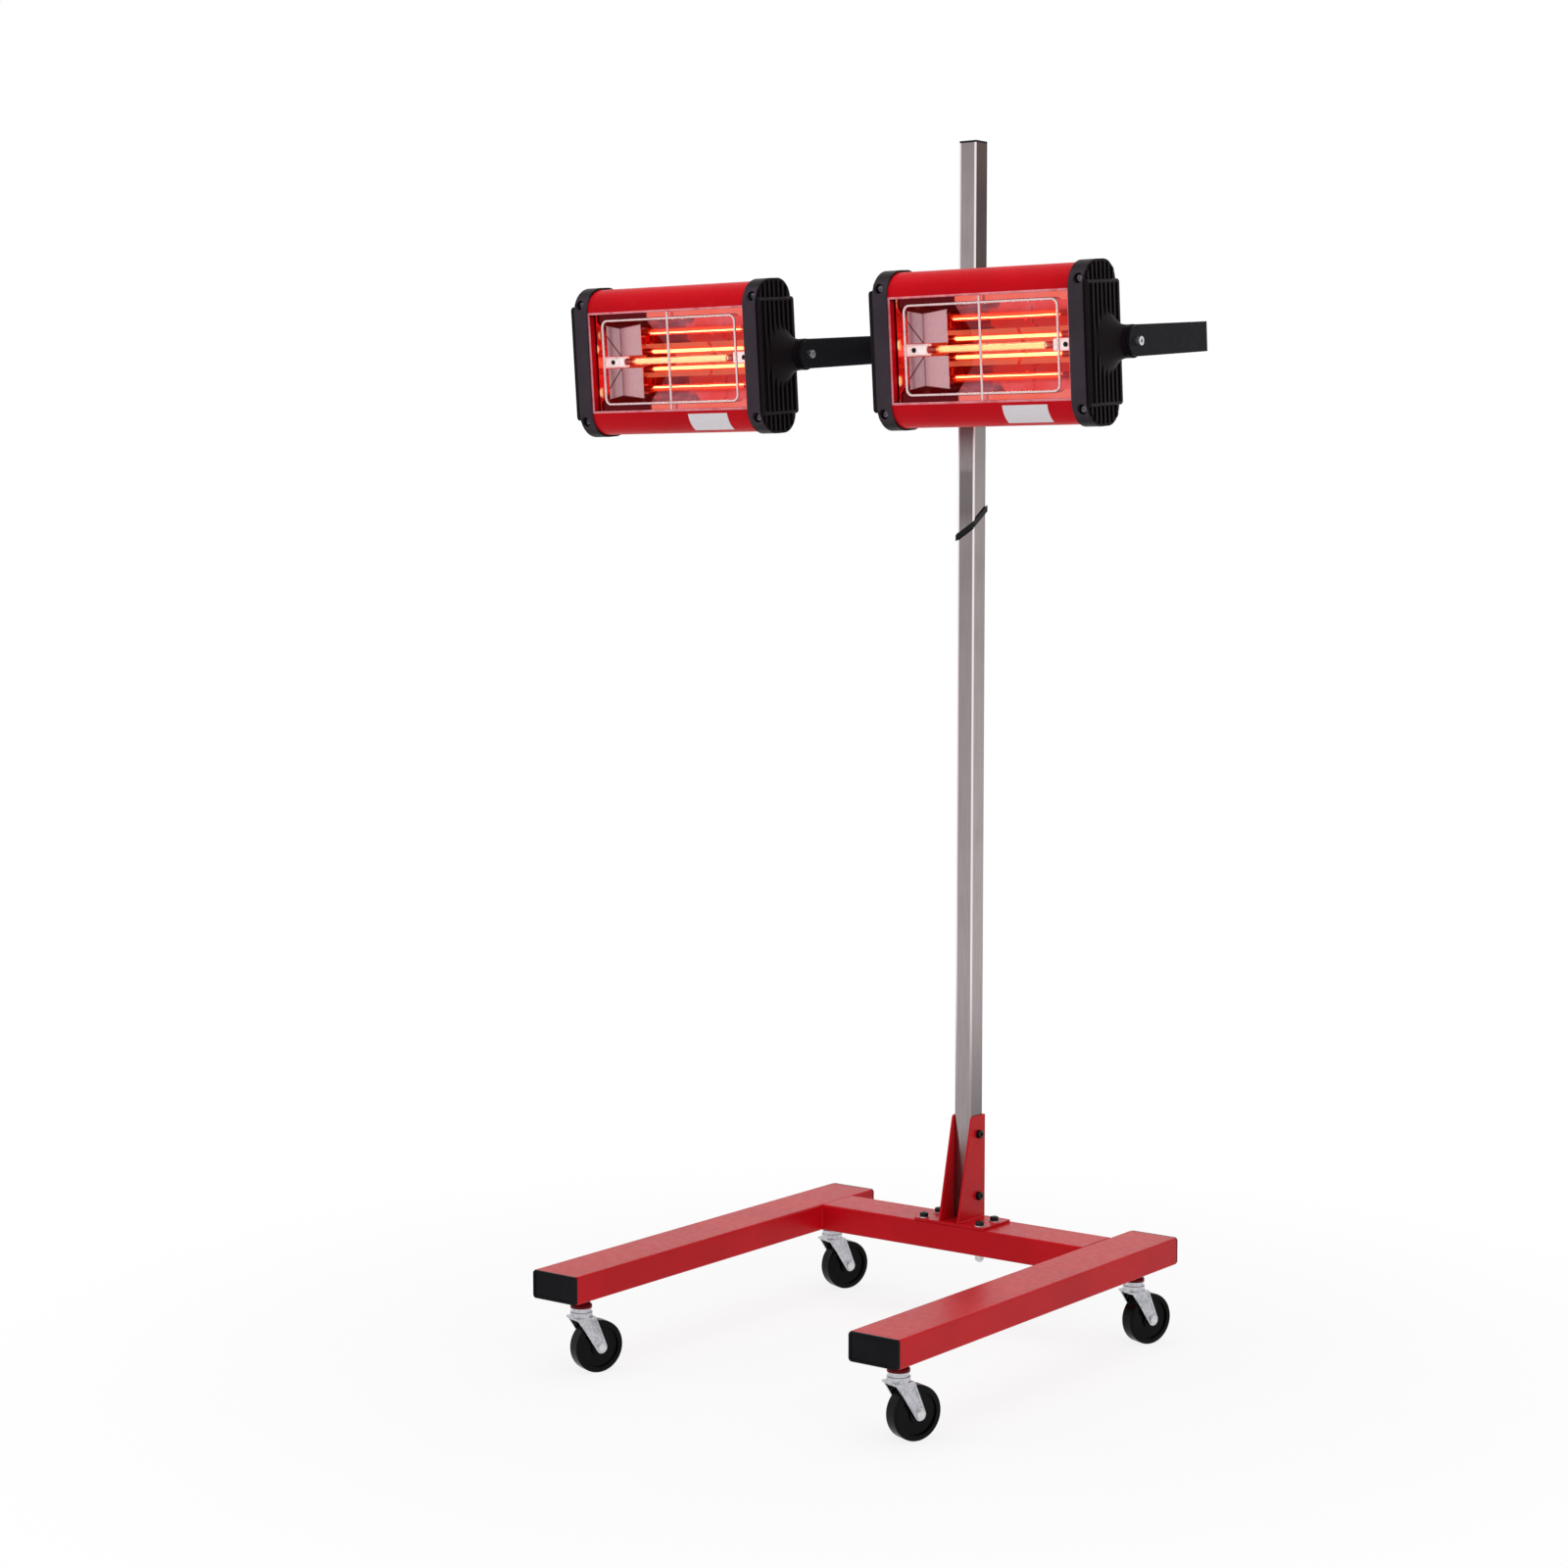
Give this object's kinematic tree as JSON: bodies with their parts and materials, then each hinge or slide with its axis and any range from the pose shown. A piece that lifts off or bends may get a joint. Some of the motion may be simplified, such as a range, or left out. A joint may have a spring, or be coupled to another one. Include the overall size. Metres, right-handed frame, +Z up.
{
  "type": "infrared paint curing lamp",
  "caption": "Rolling stand with a square post that carries infrared curing lamp heads side by side in tilting U-shaped yokes on a height-adjustable arm.",
  "frame": {"origin": "on the floor under the middle of the whole lamp's bounding box", "axes": "+Z up along the post, +Y to the back, the heads face -Y, +X to the right seen from the front"},
  "size_m": [0.9496, 0.7198, 1.758],
  "materials": {
    "red_enamel": "gloss red enamel, lightly worn at its edges",
    "black_enamel": "satin black powder coat",
    "black_plastic": "fine-grained moulded plastic",
    "zinc": "bright zinc plating",
    "black_oxide": "black oxide, slightly oily",
    "stainless": "satin stainless steel",
    "black_nylon": "smooth nylon",
    "polished_aluminium": "polished reflector sheet",
    "quartz": "quartz tube, glowing",
    "ceramic": "unglazed white ceramic",
    "chrome": "bright plated wire",
    "wheel_plastic": "hard glossy wheel",
    "rocker_plastic": "glossy switch rocker"
  },
  "bodies": {
    "stand": {"left_leg": "red_enamel", "right_leg": "red_enamel", "crossbar": "red_enamel", "leg_end_caps": "black_plastic", "caster_sockets": "red_enamel", "caster_kingpins": "zinc", "bracket_plate": "red_enamel", "post_bracket": "red_enamel", "plate_bolts": "black_oxide", "post_bolts": "black_oxide", "post": "stainless", "post_cap": "black_plastic", "post_band": "black_nylon"},
    "carriage": {"carriage_sleeve": "black_enamel", "sleeve_liners": "black_plastic"},
    "lock_knob": {"lock_knob": "black_plastic"},
    "arm": {"cross_arm": "black_enamel", "arm_end_caps": "black_plastic", "hinge_pin": "zinc"},
    "tilt_knob": {"tilt_knob": "black_plastic"},
    "caster_front_left": {"fork_front_left": "zinc", "axle_front_left": "zinc"},
    "wheel_front_left": {"wheel_front_left": "wheel_plastic"},
    "caster_front_right": {"fork_front_right": "zinc", "axle_front_right": "zinc"},
    "wheel_front_right": {"wheel_front_right": "wheel_plastic"},
    "caster_rear_left": {"fork_rear_left": "zinc", "axle_rear_left": "zinc"},
    "wheel_rear_left": {"wheel_rear_left": "wheel_plastic"},
    "caster_rear_right": {"fork_rear_right": "zinc", "axle_rear_right": "zinc"},
    "wheel_rear_right": {"wheel_rear_right": "wheel_plastic"},
    "left_yoke": {"left_yoke": "black_enamel", "left_yoke_bolt": "zinc", "left_pivot_bolts": "zinc"},
    "left_head": {"left_housing": "red_enamel", "left_reflector": "polished_aluminium", "left_lamp_tube": "quartz", "left_tube_holders": "ceramic", "left_wire_guard": "chrome", "left_outer_cap": "black_plastic", "left_inner_cap": "black_plastic", "left_cap_screws": "zinc", "left_switch_bezel": "black_plastic", "left_cable_gland": "black_plastic"},
    "left_rocker": {"left_rocker": "rocker_plastic"},
    "right_yoke": {"right_yoke": "black_enamel", "right_yoke_bolt": "zinc", "right_pivot_bolts": "zinc"},
    "right_head": {"right_housing": "red_enamel", "right_reflector": "polished_aluminium", "right_lamp_tube": "quartz", "right_tube_holders": "ceramic", "right_wire_guard": "chrome", "right_outer_cap": "black_plastic", "right_inner_cap": "black_plastic", "right_cap_screws": "zinc", "right_switch_bezel": "black_plastic", "right_cable_gland": "black_plastic"},
    "right_rocker": {"right_rocker": "rocker_plastic"}
  },
  "joints": [
    {"name": "carriage_slide", "type": "slide", "parent": "stand", "child": "carriage", "axis": [0, 0, 1], "range_m": [-0.18, 0.24]},
    {"name": "lock_knob_turn", "type": "hinge", "parent": "carriage", "child": "lock_knob", "pos_m": [0, 0.27212, 1.457], "axis": [0, 1, 0], "range_deg": [-180, 180]},
    {"name": "arm_pitch", "type": "hinge", "parent": "carriage", "child": "arm", "pos_m": [0, 0.19512, 1.457], "axis": [1, 0, 0], "range_deg": [-45, 35]},
    {"name": "tilt_knob_turn", "type": "hinge", "parent": "arm", "child": "tilt_knob", "pos_m": [0, 0.19512, 1.457], "axis": [1, 0, 0], "range_deg": [-180, 180]},
    {"name": "left_yoke_swivel", "type": "hinge", "parent": "arm", "child": "left_yoke", "pos_m": [-0.2655, 0.14328, 1.45283], "axis": [0, 0.9968, 0.0802], "range_deg": [-90, 90]},
    {"name": "left_head_tilt", "type": "hinge", "parent": "left_yoke", "child": "left_head", "pos_m": [-0.2655, -0.0471, 1.43751], "axis": [1, 0, 0], "range_deg": [-90, 90]},
    {"name": "left_rocker_tilt", "type": "hinge", "parent": "left_head", "child": "left_rocker", "pos_m": [-0.3695, -0.05407, 1.49915], "axis": [1, 0, 0], "range_deg": [0, 18]},
    {"name": "right_yoke_swivel", "type": "hinge", "parent": "arm", "child": "right_yoke", "pos_m": [0.2655, 0.14328, 1.45283], "axis": [0, 0.9968, 0.0802], "range_deg": [-90, 90]},
    {"name": "right_head_tilt", "type": "hinge", "parent": "right_yoke", "child": "right_head", "pos_m": [0.2655, -0.0471, 1.43751], "axis": [1, 0, 0], "range_deg": [-90, 90]},
    {"name": "right_rocker_tilt", "type": "hinge", "parent": "right_head", "child": "right_rocker", "pos_m": [0.1615, -0.05407, 1.49915], "axis": [1, 0, 0], "range_deg": [0, 18]},
    {"name": "caster_swivel_front_left", "type": "hinge", "parent": "stand", "child": "caster_front_left", "pos_m": [-0.2735, -0.30288, 0.083], "axis": [0, 0, 1], "continuous": true},
    {"name": "wheel_spin_front_left", "type": "hinge", "parent": "caster_front_left", "child": "wheel_front_left", "pos_m": [-0.26529, -0.28033, 0.0375], "axis": [0.9397, -0.342, 0], "continuous": true},
    {"name": "caster_swivel_front_right", "type": "hinge", "parent": "stand", "child": "caster_front_right", "pos_m": [0.2735, -0.30288, 0.083], "axis": [0, 0, 1], "continuous": true},
    {"name": "wheel_spin_front_right", "type": "hinge", "parent": "caster_front_right", "child": "wheel_front_right", "pos_m": [0.28171, -0.28033, 0.0375], "axis": [0.9397, -0.342, 0], "continuous": true},
    {"name": "caster_swivel_rear_left", "type": "hinge", "parent": "stand", "child": "caster_rear_left", "pos_m": [-0.2735, 0.29912, 0.083], "axis": [0, 0, 1], "continuous": true},
    {"name": "wheel_spin_rear_left", "type": "hinge", "parent": "caster_rear_left", "child": "wheel_rear_left", "pos_m": [-0.26529, 0.32167, 0.0375], "axis": [0.9397, -0.342, 0], "continuous": true},
    {"name": "caster_swivel_rear_right", "type": "hinge", "parent": "stand", "child": "caster_rear_right", "pos_m": [0.2735, 0.29912, 0.083], "axis": [0, 0, 1], "continuous": true},
    {"name": "wheel_spin_rear_right", "type": "hinge", "parent": "caster_rear_right", "child": "wheel_rear_right", "pos_m": [0.28171, 0.32167, 0.0375], "axis": [0.9397, -0.342, 0], "continuous": true}
  ]
}
